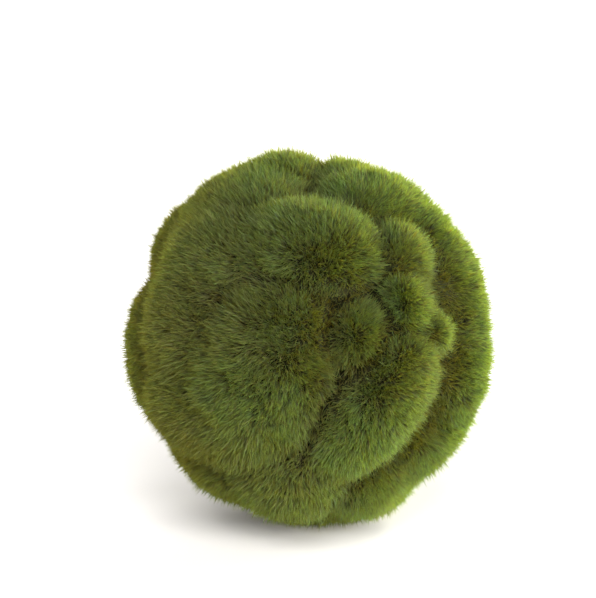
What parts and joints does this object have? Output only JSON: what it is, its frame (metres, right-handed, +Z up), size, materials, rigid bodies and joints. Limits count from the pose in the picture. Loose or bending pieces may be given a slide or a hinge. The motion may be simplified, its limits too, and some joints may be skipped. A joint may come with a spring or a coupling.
{
  "type": "marimo moss ball",
  "caption": "Rounded ball of velvety green moss with overlapping lobes and shallow furrows, resting on a small flat underside, for an aquarium, terrarium or tray",
  "frame": {"origin": "on the flat underside that the ball stands on, straight below the middle of the ball", "axes": "+Z up out of the surface it stands on, -Y towards the front with the largest lobes, +X to the right seen from the front"},
  "size_m": [0.0889, 0.0916, 0.0903],
  "materials": {
    "moss": "matte"
  },
  "bodies": {
    "root": {"moss_ball": "moss"}
  },
  "joints": []
}
